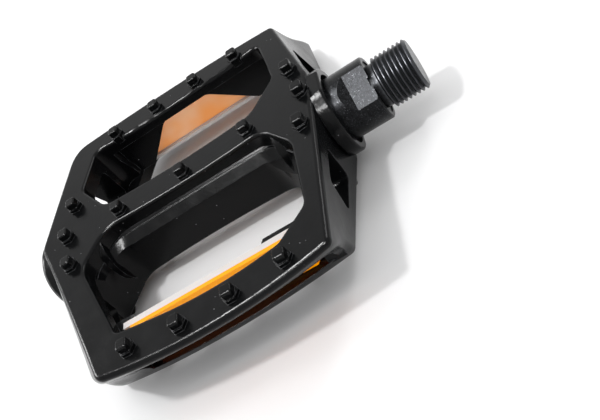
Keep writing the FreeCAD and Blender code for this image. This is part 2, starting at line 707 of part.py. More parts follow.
def platform_block():
    """Block with leaning walls, rounded corners and a dished tread on both faces."""
    top = outline_height()
    inner = size("plate_inner_height")
    upper = outline_level(top)
    lower = outline_level(-top)
    wires = [outline_wire(outline_level(height)) for height in (-top, -inner, 0, inner, top)]
    block = Part.makeLoft(wires, True, False)
    roundings = {
        "tip": ("tip_rounding", "tip_rounding"),
        "neck_far": ("neck_rounding", "neck_rounding"),
        "neck_near": ("neck_rounding", "neck_rounding"),
        "far_crank": ("corner_rounding", "corner_rounding"),
        "near_crank": ("corner_rounding", "corner_rounding"),
        "far_outer": ("full_rounding", "sharp_rounding"),
        "near_outer": ("sharp_rounding", "full_rounding"),
    }
    for name, (upper_size, lower_size) in roundings.items():
        edge = corner_edge(block, upper[name], lower[name])
        radii = (size(upper_size), size(lower_size))
        if edge.Vertexes[0].Point.z < edge.Vertexes[-1].Point.z:
            radii = (radii[1], radii[0])
        block = block.makeFillet(radii[0], radii[1], [edge])
    return block.cut(both_faces([dish_cutter()]))


def dish_cutter():
    """Everything above the hollow curve of the upper tread face."""
    reach = size("near_middle_y") + size("cut_margin")
    start = -size("tip_x") - size("cut_margin")
    radius = size("dish_radius")
    floor = size("dish_height") / 2
    slab = Part.makeBox(-start, 2 * reach, outline_height(), Vector(start, -reach, floor))
    centre = Vector(-size("dish_x"), -reach, size("dish_height") + radius)
    return slab.common(Part.makeCylinder(radius, 2 * reach, centre, Vector(0, 1, 0)))


def tread_height(along):
    """Height of the upper tread face at a place along the axle."""
    radius = size("dish_radius")
    return size("dish_height") + radius - math.sqrt(radius**2 - (along + size("dish_x")) ** 2)


def outline_height():
    """Height, above all of the tread, at which the side walls' outline is set out."""
    return tread_height(-size("tip_x")) + size("outline_margin")


def tread_edges(solid, outer):
    """Edges around both tread faces, or around the openings in them."""
    chosen = []
    for face in solid.Faces:
        surface = face.Surface
        if isinstance(surface, Part.Cylinder) and abs(surface.Radius - size("dish_radius")) < 1e-6:
            for wire in face.Wires:
                if wire.isSame(face.OuterWire) == outer:
                    chosen += wire.Edges
    return chosen


def rounded_plan(corners, height):
    """Closed wire through corners, each rounded with its own radius."""
    points = [Vector(along, across, height) for along, across, radius in corners]
    arcs = []
    for index, (along, across, radius) in enumerate(corners):
        here = points[index]
        back = (points[index - 1] - here).normalize()
        onward = (points[(index + 1) % len(points)] - here).normalize()
        half = back.getAngle(onward) / 2
        reach = radius / math.tan(half)
        middle = (back + onward).normalize()
        deepest = here + middle * (radius / math.sin(half) - radius)
        arcs.append((here + back * reach, deepest, here + onward * reach))
    edges = []
    for index, arc in enumerate(arcs):
        edges.append(Part.Arc(*arc).toShape())
        edges.append(Part.LineSegment(arc[2], arcs[(index + 1) % len(arcs)][0]).toShape())
    return Part.Wire(edges)


def tread_openings():
    """Prisms of the two openings in the upper tread plate; the far one goes on to the lower plate."""
    soft = size("opening_rounding")
    sweep = size("sweep_rounding")
    tip_x = size("tip_x")
    far_edge = size("far_opening_y")
    near_edge = -size("near_opening_y")
    bar_far = size("bar_far_y")
    bar_near = -size("bar_near_y")
    far = [
        (-size("far_open_crank_x"), far_edge, soft),
        (-size("far_open_crank_bend_x"), size("far_open_crank_bend_y"), soft),
        (-size("far_open_bar_x"), bar_far, size("bar_rounding")),
        (size("far_open_bar_setback") - tip_x, bar_far, size("bar_rounding")),
        (size("far_open_bend_setback") - tip_x, size("far_open_bend_y"), soft),
        (size("far_open_outer_setback") - tip_x, far_edge, soft),
    ]
    near = [
        (-size("near_open_bar_x"), bar_near, sweep),
        (-size("near_open_crank_x"), -size("near_open_bend_y"), sweep),
        (-size("near_open_crank_x"), -size("near_open_crank_y"), soft),
        (-size("near_open_corner_x"), near_edge + size("near_open_crank_bow"), soft),
        (-size("near_open_middle_x"), near_edge, size("bow_rounding")),
        (size("near_open_outer_setback") - tip_x, near_edge + size("near_open_outer_bow"), soft),
        (size("near_outer_bend_setback") - tip_x, -size("near_outer_bend_y"), sweep),
        (size("near_open_bar_setback") - tip_x, bar_near, sweep),
    ]
    inner = size("plate_inner_height")
    prisms = []
    for corners, floor in ((far, -inner), (near, inner - size("casting_root"))):
        face = Part.Face(rounded_plan(corners, floor))
        prisms.append(face.extrude(Vector(0, 0, outline_height() - floor)))
    return prisms


def side_cavity():
    """Hollow between the plates on the near side, open to the side, around the bar's waist."""
    inner = size("plate_inner_height")
    waist = size("bar_waist_height")
    open_y = -size("near_middle_y") - size("cut_margin")
    crank_x = -size("near_open_crank_x")
    tip_x = size("tip_x")
    outer_x = size("near_open_outer_setback") - tip_x
    sharp = size("cavity_rounding")
    sweep = size("sweep_rounding")
    upper_ends = (
        -size("near_open_bar_x"),
        (crank_x, -size("near_open_bend_y"), sweep),
        (size("near_outer_bend_setback") - tip_x, -size("near_outer_bend_y"), sweep),
        size("near_open_bar_setback") - tip_x,
    )
    lower_ends = (
        -size("far_open_bar_x"),
        (-size("far_open_crank_bend_x"), -size("far_open_crank_bend_y"), sweep),
        (size("far_open_bend_setback") - tip_x, -size("far_open_bend_y"), sweep),
        size("far_open_bar_setback") - tip_x,
    )
    wires = []
    for height, bar, ends in (
        (-inner, size("bar_far_y"), lower_ends),
        (-waist, size("bar_waist"), lower_ends),
        (waist, size("bar_waist"), upper_ends),
        (inner, size("bar_near_y"), upper_ends),
    ):
        crank_bar_x, crank_bend, outer_bend, outer_bar_x = ends
        wires.append(rounded_plan([
            (crank_bar_x, -bar, sweep),
            crank_bend,
            (crank_x, open_y, sharp),
            (outer_x, open_y, sharp),
            (outer_x, -size("near_opening_y"), sharp),
            outer_bend,
            (outer_bar_x, -bar, sweep),
        ], height))
    return Part.makeLoft(wires, True, True)


def rail_lip(block):
    """Lip that hangs from the overhanging near rail and follows its bow."""
    depth = size("rail_lip_depth")
    root = size("casting_root")
    crank_x = -size("near_open_crank_x")
    outer_x = size("near_open_outer_setback") - size("tip_x")
    reach = size("near_middle_y") + size("cut_margin")
    strip = Part.makeBox(
        crank_x - outer_x + 2 * root, reach, depth + root,
        Vector(outer_x - root, -reach, size("plate_inner_height") - depth),
    )
    skin = block.common(strip)
    inside = skin.translated(Vector(0, size("rail_lip_thickness"), 0))
    return skin.cut(inside)


def end_windows():
    """Cutters for the windows in both end walls, on one side of the axle."""
    width = size("window_end_y") - size("window_start_y")
    height = size("window_height")
    tip_x = size("tip_x")
    margin = size("cut_margin")
    cutters = []
    for start, end in (
        (-size("crank_window_x"), margin - size("crank_neck_x")),
        (-tip_x - margin, size("outer_window_setback") - tip_x),
    ):
        corner = Vector(start, size("window_start_y"), -height / 2)
        block = Part.makeBox(end - start, width, height, corner)
        long_edges = [e for e in block.Edges if abs(e.Length - (end - start)) < 1e-6]
        cutters.append(block.makeFillet(size("window_rounding"), long_edges))
    return cutters


def gusset_gap():
    """Cutter for the arched gap in the wall behind the far reflector."""
    half = size("gusset_window_half")
    spread = size("gusset_window_spread")
    middle = -size("gusset_window_x")
    top = size("gusset_window_top")
    margin = size("casting_root")
    foot = -size("plate_inner_height") - margin
    front = size("far_opening_y") + size("gusset_step") - margin
    points = [
        Vector(middle - half - spread, front, foot),
        Vector(middle - half, front, top),
        Vector(middle + half, front, top),
        Vector(middle + half + spread, front, foot),
    ]
    face = Part.Face(Part.makePolygon(points + points[:1]))
    gap = face.extrude(Vector(0, size("gusset_thickness") + 2 * margin, 0))
    upper = [
        e for e in gap.Edges
        if e.BoundBox.ZMin > top - 1e-6 and e.BoundBox.XLength < 1e-6
    ]
    return gap.makeFillet(size("gusset_window_rounding"), upper)


def reflector_mounts():
    """Wall and end ribs that hold the far reflector under the upper rail."""
    inner = size("plate_inner_height")
    root = size("casting_root")
    height = 2 * inner + root
    back = size("far_opening_y") + size("gusset_step")
    tip_x = size("tip_x")
    crank_end = root - size("near_open_crank_x")
    outer_end = size("gusset_setback") - tip_x
    wall = Part.makeBox(
        crank_end - outer_end, size("gusset_thickness"), height, Vector(outer_end, back, -inner)
    )
    depth = (
        size("gusset_thickness") + size("pocket_clearance") + size("housing_depth")
        + size("lens_thickness") + size("rib_reach")
    )
    thickness = size("rib_thickness")
    outer_rib = Part.makeBox(
        thickness, depth, height, Vector(size("pocket_setback") - tip_x - thickness, back, -inner)
    )
    crank_rib = Part.makeBox(
        crank_end + size("pocket_crank_x"), depth, height,
        Vector(-size("pocket_crank_x"), back, -inner),
    )
    return [wall.cut(gusset_gap()), outer_rib, crank_rib]


def bearing_bosses():
    """Bosses around both bearings and the tube between them."""
    hub_end = size("ring_x") + size("hub_length")
    outer_end = value(OUTER_BOSS)
    root = size("casting_root")
    hub = axle_cylinder(size("hub_radius"), size("crank_neck_x"), hub_end)
    outer = axle_cylinder(
        size("outer_boss_radius"), outer_end - size("outer_boss_length"), outer_end
    )
    rim = [e for e in outer.Edges if abs(e.BoundBox.XMax + outer_end) < 1e-6]
    outer = outer.makeFillet(size("outer_boss_rounding"), rim)
    cutters = both_faces([dish_cutter()])
    outer_start = outer_end - size("outer_boss_length")
    tube = axle_cylinder(size("tube_radius"), hub_end - root, outer_start + root)
    return [hub.cut(cutters), outer.cut(cutters), tube]


def boss_ring():
    """Rim around the mouth of the boss."""
    ring = axle_cylinder(size("ring_radius"), size("ring_x"), size("ring_x") + size("ring_width"))
    ring = ring.cut(both_faces([dish_cutter()]))
    front = [
        e for e in ring.Edges
        if abs(e.BoundBox.XMin + size("ring_x")) < 1e-6 and e.BoundBox.XLength < 1e-6
    ]
    return ring.makeFillet(size("ring_rounding"), front)


def axle_bores():
    """Everything bored out along the axle for the spindle and its bearings."""
    mouth_end = size("collar_length") + size("seal_setback") + size("seal_thickness")
    inner_seat = size("inner_ball_x") + size("cup_back")
    outer_seat = value(OUTER_BALL) - size("cup_back")
    outer_mouth = value(OUTER_BOSS) + size("cut_margin")
    return [
        axle_cylinder(size("mouth_radius"), 0, mouth_end),
        axle_cylinder(size("inner_cup_radius"), 0, inner_seat),
        axle_cylinder(size("tube_bore_radius"), 0, outer_mouth),
        axle_cylinder(size("outer_cup_radius"), outer_seat, outer_mouth),
    ]


def stud():
    """One stud: a hexagonal pad with a rounded square peg, standing on the origin."""
    reach = size("stud_across") / 2 / math.cos(math.radians(30))
    corners = []
    for index in range(7):
        angle = math.radians(60 * index)
        corners.append(Vector(reach * math.cos(angle), reach * math.sin(angle), -size("stud_root")))
    pad = Part.Face(Part.makePolygon(corners))
    pad = pad.extrude(Vector(0, 0, size("stud_root") + size("stud_pad_height")))
    width = size("stud_width")
    height = size("stud_height")
    peg = Part.makeBox(width, width, height, Vector(-width / 2, -width / 2, 0))
    sides = [e for e in peg.Edges if abs(e.Length - height) < 1e-6]
    peg = peg.makeFillet(size("stud_side_rounding"), sides)
    top = [e for e in peg.Edges if e.BoundBox.ZMin > height - 1e-6]
    peg = peg.makeFillet(size("stud_rounding"), top)
    return pad.fuse(peg)


def bowed_row(first_x, pitch, count, end_y, bow):
    """Stud places along a rail, bowed outward at the middle of the row."""
    half = pitch * (count - 1) / 2
    places = []
    for index in range(count):
        along = -first_x - pitch * index
        offset = (along + first_x + half) / half
        places.append((along, end_y + bow * (1 - offset**2)))
    return places


def stud_places():
    """Places of all the studs on the upper tread face."""
    pitch = size("rail_stud_pitch")
    places = bowed_row(
        size("far_stud_x"), pitch, STUDS_PER_RAIL, size("far_stud_y"), size("far_stud_bow")
    )
    places += bowed_row(
        size("near_stud_x"), pitch, STUDS_PER_RAIL, -size("near_stud_y"), -size("near_stud_bow")
    )
    for index in range(STUDS_ON_BAR):
        places.append((-size("bar_stud_x") - size("bar_stud_pitch") * index, size("bar_stud_y")))
    for middle_x, setback in (
        (-size("crank_stud_x"), -size("end_stud_setback")),
        (size("outer_stud_setback") - size("tip_x"), size("end_stud_setback")),
    ):
        for step in (-1, 0, 1):
            across = size("end_stud_y") + step * size("end_stud_spacing")
            places.append((middle_x + abs(step) * setback, across))
    return places


def make_pedal_body():
    """Work out the casting and hand it over as one solid."""
    block = platform_block()
    body = block.makeFillet(size("edge_rounding"), tread_edges(block, True))
    body = body.cut(both_faces(tread_openings()))
    body = body.makeFillet(size("rim_rounding"), tread_edges(body, False))
    body = body.cut(both_faces([side_cavity()]))
    body = body.fuse(both_faces([rail_lip(block)]))
    body = body.cut(both_faces(end_windows()))
    body = body.fuse(bearing_bosses() + both_faces(reflector_mounts()))
    body = body.fuse(boss_ring())
    pattern = stud()
    studs = []
    for along, across in stud_places():
        studs.append(pattern.translated(Vector(along, across, tread_height(along))))
    body = body.fuse(both_faces(studs))
    body = body.cut(axle_bores())
    feature = doc.addObject("Part::Feature", "pedal_body")
    feature.Label = "pedal_body"
    feature.Shape = body.Solids[0] if len(body.Solids) == 1 else body
    feature.Placement = Placement()
    return feature


# ---------------------------------------------------------------- assembly and files

nodes = [
    make_pedal_body(),
    make_spindle(),
    make_cup("inner_bearing_cup", "$inner_ball_x", "$inner_pitch_radius",
             "$inner_cup_radius", 1),
    make_cup("outer_bearing_cup", OUTER_BALL, "$outer_pitch_radius",
             "$outer_cup_radius", -1),
    make_balls("inner_bearing_balls", "$inner_ball_x", "$inner_pitch_radius"),
    make_balls("outer_bearing_balls", OUTER_BALL, "$outer_pitch_radius"),
    make_outer_cone(),
    make_lock_washer(),
    make_lock_nut(),
    make_dust_seal(),
    make_dust_cap(),
    make_housing("rear_reflector_housing", False),
    make_lens("rear_reflector_lens", False),
    make_housing("front_reflector_housing", True),
    make_lens("front_reflector_lens", True),
]
doc.recompute()

for item in doc.Objects:
    if "Invalid" in item.State or "Error" in item.State:
        raise RuntimeError(f"{item.Name}: {item.State}")
for node in nodes:
    if node.Shape.isNull() or not node.Shape.isValid() or not node.Shape.Solids:
        raise RuntimeError(f"{node.Label} has no valid solid")

os.makedirs("parts", exist_ok=True)
for node in nodes:
    node.Shape.exportStep(f"parts/{node.Label}.step")
    solids = len(node.Shape.Solids)
    print(f"{node.Label}: {solids} solid(s), {node.Shape.Volume:.0f} mm3")
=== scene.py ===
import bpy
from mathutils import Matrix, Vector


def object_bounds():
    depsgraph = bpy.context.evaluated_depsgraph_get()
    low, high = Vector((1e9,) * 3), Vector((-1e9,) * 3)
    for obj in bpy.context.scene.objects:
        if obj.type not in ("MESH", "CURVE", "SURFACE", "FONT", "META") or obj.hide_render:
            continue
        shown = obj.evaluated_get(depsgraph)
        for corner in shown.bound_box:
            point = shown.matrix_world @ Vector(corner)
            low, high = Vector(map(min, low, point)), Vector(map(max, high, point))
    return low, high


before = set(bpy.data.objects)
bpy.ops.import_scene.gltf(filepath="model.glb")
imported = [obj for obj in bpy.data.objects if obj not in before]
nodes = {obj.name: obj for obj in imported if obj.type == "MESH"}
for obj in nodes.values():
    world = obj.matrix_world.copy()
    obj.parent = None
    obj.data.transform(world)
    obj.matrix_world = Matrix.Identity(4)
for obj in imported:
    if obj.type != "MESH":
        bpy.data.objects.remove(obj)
cad_box = [list(corner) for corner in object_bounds()]

import math

import bmesh
import bpy
from mathutils import Euler, Vector

MM = 0.001


# ---------------------------------------------------------------- camera

CAMERA_PLACE = Vector((30.92, -176.41, 129.47)) * MM
CAMERA_TURN = (41.724, 32.951, -9.598)
CAMERA_LENS_MM = 50.46
CAMERA_SENSOR_MM = 36.0
CAMERA_NEAREST = 5 * MM
CAMERA_FARTHEST = 20.0


def set_camera():
    """Look down on the near side of the pedal, rolled so that the axle climbs to the right."""
    data = bpy.data.cameras.new("camera")
    data.lens = CAMERA_LENS_MM
    data.sensor_width = CAMERA_SENSOR_MM
    data.clip_start = CAMERA_NEAREST
    data.clip_end = CAMERA_FARTHEST
    camera = bpy.data.objects.new("camera", data)
    camera.location = CAMERA_PLACE
    camera.rotation_euler = Euler([math.radians(angle) for angle in CAMERA_TURN])
    bpy.context.scene.collection.objects.link(camera)
    bpy.context.scene.camera = camera


set_camera()
bpy.context.view_layer.update()


# ---------------------------------------------------------------- nodes of a material

# noise keeps mostly between these
NOISE_LOW = 0.3
NOISE_HIGH = 0.7


def linear(hex_colour):
    """Turn an sRGB hex colour into linear red, green, blue and full alpha."""
    values = []
    for start in (1, 3, 5):
        share = int(hex_colour[start:start + 2], 16) / 255
        values.append(share / 12.92 if share <= 0.04045 else ((share + 0.055) / 1.055) ** 2.4)
    return (*values, 1.0)


def add(tree, kind, settings=None, inputs=None):
    """Add a node with its settings; inputs hold plain values or sockets to link from."""
    node = tree.nodes.new(kind)
    for name, value in (settings or {}).items():
        setattr(node, name, value)
    for name, value in (inputs or {}).items():
        if isinstance(value, bpy.types.NodeSocket):
            tree.links.new(value, node.inputs[name])
        else:
            node.inputs[name].default_value = value
    return node


def new_material(name):
    """Start a material with its shader, its output and the place on the piece in metres."""
    material = bpy.data.materials.new(name)
    material.use_nodes = True
    tree = material.node_tree
    tree.nodes.clear()
    shader = add(tree, "ShaderNodeBsdfPrincipled")
    add(tree, "ShaderNodeOutputMaterial", inputs={"Surface": shader.outputs[0]})
    place = add(tree, "ShaderNodeTexCoord").outputs["Object"]
    return material, tree, shader, place


def spread_roughness(tree, shader, cloud, lowest, highest):
    """Let the gloss drift with a cloud of noise, from the lowest roughness to the highest."""
    rough = add(
        tree, "ShaderNodeMapRange",
        inputs={"Value": cloud, "From Min": NOISE_LOW, "From Max": NOISE_HIGH,
                "To Min": lowest, "To Max": highest},
    )
    tree.links.new(rough.outputs["Result"], shader.inputs["Roughness"])


def height_from_axle(tree, place):
    """Measure how far above or below the axle a place on a reflector is."""
    parts = add(tree, "ShaderNodeSeparateXYZ", inputs={0: place})
    height = add(tree, "ShaderNodeMath", {"operation": "ABSOLUTE"}, {0: parts.outputs["Z"]})
    return height.outputs[0]


# ---------------------------------------------------------------- materials

COLOUR = {"data_type": "RGBA"}
# sockets of a colour mix: the share of the second colour, both colours, and the colour that comes out
SHARE, FIRST, SECOND = 0, 6, 7
MIXED = 2
EDGE_ROUNDING = 0.3 * MM
# along the axle from the shoulder: the thread's paler part begins between these
THREAD_PALER_SPAN = (0.8 * MM, 1.6 * MM)
HONEYCOMB_PITCH = 2.2 * MM
# from the axle plane: the honeycomb ends and the lens's cut edge begins
LENS_EDGE = (4.5 * MM, 5.0 * MM)
# from the axle plane: the housing's back, painted with the lens's amber light, ends and its white flange
# begins
HOUSING_FLANGE = (4.9 * MM, 5.3 * MM)


def painted_casting():
    """Die-cast aluminium in black stove enamel: deep black, a soft gloss, orange peel and dust."""
    material, tree, shader, place = new_material("black_enamelled_casting")
    # the film is a little thicker in some places than in others
    cloud = add(tree, "ShaderNodeTexNoise", inputs={"Vector": place, "Scale": 1 / (16 * MM), "Detail": 3.0})
    body = add(
        tree, "ShaderNodeMix", COLOUR,
        {SHARE: cloud.outputs["Fac"], FIRST: linear("#060607"), SECOND: linear("#0e0f10")},
    ).outputs[MIXED]
    # dust and grit baked into the film, pale specks a few millimetres apart
    specks = add(
        tree, "ShaderNodeTexVoronoi", {"feature": "F1"},
        {"Vector": place, "Scale": 1 / (3.6 * MM), "Randomness": 1.0},
    )
    dust = add(
        tree, "ShaderNodeMapRange",
        inputs={"Value": specks.outputs["Distance"], "From Min": 0.03, "From Max": 0.055,
                "To Min": 1.0, "To Max": 0.0},
    ).outputs["Result"]
    body = add(
        tree, "ShaderNodeMix", COLOUR, {SHARE: dust, FIRST: body, SECOND: linear("#6d6e70")}
    ).outputs[MIXED]
    # edges are rubbed where the film is thin
    rounded = add(tree, "ShaderNodeBevel", {"samples": 6}, {"Radius": EDGE_ROUNDING})
    facing = add(tree, "ShaderNodeNewGeometry")
    match = add(
        tree, "ShaderNodeVectorMath", {"operation": "DOT_PRODUCT"},
        {0: rounded.outputs["Normal"], 1: facing.outputs["Normal"]},
    )
    edge = add(
        tree, "ShaderNodeMapRange",
        inputs={"Value": match.outputs["Value"], "From Min": 0.985, "From Max": 0.86},
    )
    patches = add(
        tree, "ShaderNodeTexNoise", inputs={"Vector": place, "Scale": 1 / (2.2 * MM), "Detail": 4.0}
    )
    worn = add(
        tree, "ShaderNodeMapRange",
        inputs={"Value": patches.outputs["Fac"], "From Min": 0.42, "From Max": 0.64},
    )
    rub = add(
        tree, "ShaderNodeMath", {"operation": "MULTIPLY"},
        {0: edge.outputs["Result"], 1: worn.outputs["Result"]},
    )
    body = add(
        tree, "ShaderNodeMix", COLOUR, {SHARE: rub.outputs[0], FIRST: body, SECOND: linear("#4c4d50")}
    ).outputs[MIXED]
    tree.links.new(body, shader.inputs["Base Color"])
    gloss = add(tree, "ShaderNodeTexNoise", inputs={"Vector": place, "Scale": 1 / (5 * MM), "Detail": 3.0})
    spread_roughness(tree, shader, gloss.outputs["Fac"], 0.15, 0.25)
    shader.inputs["IOR"].default_value = 1.45
    shader.inputs["Specular IOR Level"].default_value = 0.11
    shader.inputs["Coat Weight"].default_value = 0.06
    shader.inputs["Coat Roughness"].default_value = 0.12
    # orange peel, and the grit of the cast skin under it
    peel = add(tree, "ShaderNodeTexNoise", inputs={"Vector": place, "Scale": 1 / (0.9 * MM), "Detail": 2.0})
    skin = add(
        tree, "ShaderNodeBump",
        inputs={"Height": peel.outputs["Fac"], "Distance": 0.03 * MM, "Strength": 1.0,
                "Normal": rounded.outputs["Normal"]},
    )
    grit = add(tree, "ShaderNodeTexNoise", inputs={"Vector": place, "Scale": 1 / (0.3 * MM), "Detail": 2.0})
    skin = add(
        tree, "ShaderNodeBump",
        inputs={"Height": grit.outputs["Fac"], "Distance": 0.008 * MM, "Strength": 1.0,
                "Normal": skin.outputs["Normal"]},
    )
    tree.links.new(skin.outputs["Normal"], shader.inputs["Normal"])
    return material


def black_oxide_steel():
    """Turned steel blacked in a salt bath: fine lathe lines and a mottled grey-black."""
    material, tree, shader, place = new_material("black_oxide_steel")
    parts = add(tree, "ShaderNodeSeparateXYZ", inputs={0: place})
    along = add(tree, "ShaderNodeCombineXYZ", inputs={"X": parts.outputs["X"]})
    lathe = add(
        tree, "ShaderNodeTexNoise",
        inputs={"Vector": along.outputs[0], "Scale": 1 / (0.25 * MM), "Detail": 3.0, "Roughness": 0.7},
    )
    mottle = add(
        tree, "ShaderNodeTexNoise",
        inputs={"Vector": place, "Scale": 1 / (0.8 * MM), "Detail": 5.0, "Roughness": 0.65},
    )
    share = add(
        tree, "ShaderNodeMapRange",
        inputs={"Value": mottle.outputs["Fac"], "From Min": 0.36, "From Max": 0.66},
    )
    colour = add(
        tree, "ShaderNodeMix", COLOUR,
        {SHARE: share.outputs["Result"], FIRST: linear("#0c0d0e"), SECOND: linear("#1c1d1f")},
    ).outputs[MIXED]
    # the thread beyond the crank shoulder is paler than the collar
    thread = add(
        tree, "ShaderNodeMapRange",
        inputs={"Value": parts.outputs["X"], "From Min": THREAD_PALER_SPAN[0], "From Max": THREAD_PALER_SPAN[1]},
    ).outputs["Result"]
    paler_share = add(tree, "ShaderNodeMath", {"operation": "MULTIPLY"}, {0: thread, 1: 0.75})
    colour = add(
        tree, "ShaderNodeMix", COLOUR,
        {SHARE: paler_share.outputs[0], FIRST: colour, SECOND: linear("#434447")},
    ).outputs[MIXED]
    # salt grains show as fine pale points
    grain = add(
        tree, "ShaderNodeTexNoise",
        inputs={"Vector": place, "Scale": 1 / (0.3 * MM), "Detail": 3.0, "Roughness": 0.7},
    )
    points = add(
        tree, "ShaderNodeMapRange",
        inputs={"Value": grain.outputs["Fac"], "From Min": 0.60, "From Max": 0.75},
    )
    colour = add(
        tree, "ShaderNodeMix", COLOUR,
        {SHARE: points.outputs["Result"], FIRST: colour, SECOND: linear("#66676b")},
    ).outputs[MIXED]
    tree.links.new(colour, shader.inputs["Base Color"])
    shader.inputs["Metallic"].default_value = 0.75
    shader.inputs["Specular IOR Level"].default_value = 0.25
    spread_roughness(tree, shader, mottle.outputs["Fac"], 0.26, 0.42)
    turned = add(
        tree, "ShaderNodeBump",
        inputs={"Height": lathe.outputs["Fac"], "Distance": 0.01 * MM, "Strength": 1.0},
    )
    grainy = add(
        tree, "ShaderNodeBump",
        inputs={"Height": grain.outputs["Fac"], "Distance": 0.01 * MM, "Strength": 1.0,
                "Normal": turned.outputs["Normal"]},
    )
    tree.links.new(grainy.outputs["Normal"], shader.inputs["Normal"])
    return material


def ground_steel(name, colour_low, colour_high, rough_low, rough_high):
    """Bright bearing steel, ground or plated, with faint turning lines round the axle."""
    material, tree, shader, place = new_material(name)
    parts = add(tree, "ShaderNodeSeparateXYZ", inputs={0: place})
    along = add(tree, "ShaderNodeCombineXYZ", inputs={"X": parts.outputs["X"]})
    lines = add(
        tree, "ShaderNodeTexNoise",
        inputs={"Vector": along.outputs[0], "Scale": 1 / (0.15 * MM), "Detail": 2.0},
    )
    cloud = add(tree, "ShaderNodeTexNoise", inputs={"Vector": place, "Scale": 1 / (3 * MM), "Detail": 4.0})
    colour = add(
        tree, "ShaderNodeMix", COLOUR,
        {SHARE: cloud.outputs["Fac"], FIRST: linear(colour_low), SECOND: linear(colour_high)},
    )
    tree.links.new(colour.outputs[MIXED], shader.inputs["Base Color"])
    shader.inputs["Metallic"].default_value = 1.0
    spread_roughness(tree, shader, cloud.outputs["Fac"], rough_low, rough_high)
    turned = add(
        tree, "ShaderNodeBump",
        inputs={"Height": lines.outputs["Fac"], "Distance": 0.004 * MM, "Strength": 1.0},
    )
    tree.links.new(turned.outputs["Normal"], shader.inputs["Normal"])
    return material


def moulded_black(name, low, high, rough_low, rough_high, texture_mm):
    """Moulded black plastic or rubber with a fine spark-eroded texture that dulls its gloss."""
    material, tree, shader, place = new_material(name)
    cloud = add(tree, "ShaderNodeTexNoise", inputs={"Vector": place, "Scale": 1 / (6 * MM), "Detail": 3.0})
    colour = add(
        tree, "ShaderNodeMix", COLOUR,
        {SHARE: cloud.outputs["Fac"], FIRST: linear(low), SECOND: linear(high)},
    )
    tree.links.new(colour.outputs[MIXED], shader.inputs["Base Color"])
    spread_roughness(tree, shader, cloud.outputs["Fac"], rough_low, rough_high)
    texture = add(
        tree, "ShaderNodeTexNoise", inputs={"Vector": place, "Scale": 1 / (texture_mm * MM), "Detail": 2.0}
    )
    eroded = add(
        tree, "ShaderNodeBump",
        inputs={"Height": texture.outputs["Fac"], "Distance": 0.02 * MM, "Strength": 1.0},
    )
    tree.links.new(eroded.outputs["Normal"], shader.inputs["Normal"])
    return material


def amber_acrylic():
    """Clear amber acrylic: a honeycomb of prisms behind a smooth face, bright cut edges, and a painted
    amber glow.
    """
    material, tree, shader, place = new_material("amber_acrylic")
    # two sets of cell middles in rows along the axle, one set half a cell off the other
    cell = (HONEYCOMB_PITCH, 1.0, HONEYCOMB_PITCH * math.sqrt(3))
    half_cell = tuple(side / 2 for side in cell)
    reaches = []
    for share in (0.0, 0.5):
        moved = add(
            tree, "ShaderNodeVectorMath", {"operation": "ADD"},
            {0: place, 1: (cell[0] * share, 0, cell[2] * share)},
        )
        inside = add(
            tree, "ShaderNodeVectorMath", {"operation": "WRAP"},
            {0: moved.outputs[0], 1: half_cell, 2: tuple(-side for side in half_cell)},
        )
        flat = add(
            tree, "ShaderNodeVectorMath", {"operation": "MULTIPLY"}, {0: inside.outputs[0], 1: (1, 0, 1)}
        )
        length = add(tree, "ShaderNodeVectorMath", {"operation": "LENGTH"}, {0: flat.outputs[0]})
        reaches.append(length.outputs["Value"])
    nearest = add(tree, "ShaderNodeMath", {"operation": "MINIMUM"}, {0: reaches[0], 1: reaches[1]})
    prism = add(
        tree, "ShaderNodeMapRange",
        inputs={"Value": nearest.outputs[0], "From Min": 0.1 * HONEYCOMB_PITCH,
                "From Max": 0.58 * HONEYCOMB_PITCH},
    ).outputs["Result"]
    colour = add(
        tree, "ShaderNodeMix", COLOUR, {SHARE: prism, FIRST: linear("#ff9600"), SECOND: linear("#d64e00")}
    ).outputs[MIXED]
    # the long cut edges at the top and foot of the lens gather light and glow yellow
    rim = add(
        tree, "ShaderNodeMapRange",
        inputs={"Value": height_from_axle(tree, place), "From Min": LENS_EDGE[0],
                "From Max": LENS_EDGE[1]},
    ).outputs["Result"]
    colour = add(
        tree, "ShaderNodeMix", COLOUR, {SHARE: rim, FIRST: colour, SECOND: linear("#ffa800")}
    ).outputs[MIXED]
    tree.links.new(colour, shader.inputs["Base Color"])
    shader.inputs["Roughness"].default_value = 0.12
    shader.inputs["IOR"].default_value = 1.49
    shader.inputs["Specular IOR Level"].default_value = 0.2
    shader.inputs["Transmission Weight"].default_value = 0.15
    # painted glow: the lens gives off its own amber light, brightest at its cut edges
    tree.links.new(colour, shader.inputs["Emission Color"])
    shader.inputs["Emission Strength"].default_value = 0.22
    face = add(tree, "ShaderNodeMath", {"operation": "SUBTRACT"}, {0: 1.0, 1: rim})
    relief = add(tree, "ShaderNodeMath", {"operation": "MULTIPLY"}, {0: prism, 1: face.outputs[0]})
    ridges = add(
        tree, "ShaderNodeBump",
        inputs={"Height": relief.outputs[0], "Distance": 0.25 * MM, "Strength": 0.6},
    )
    tree.links.new(ridges.outputs["Normal"], shader.inputs["Normal"])
    return material


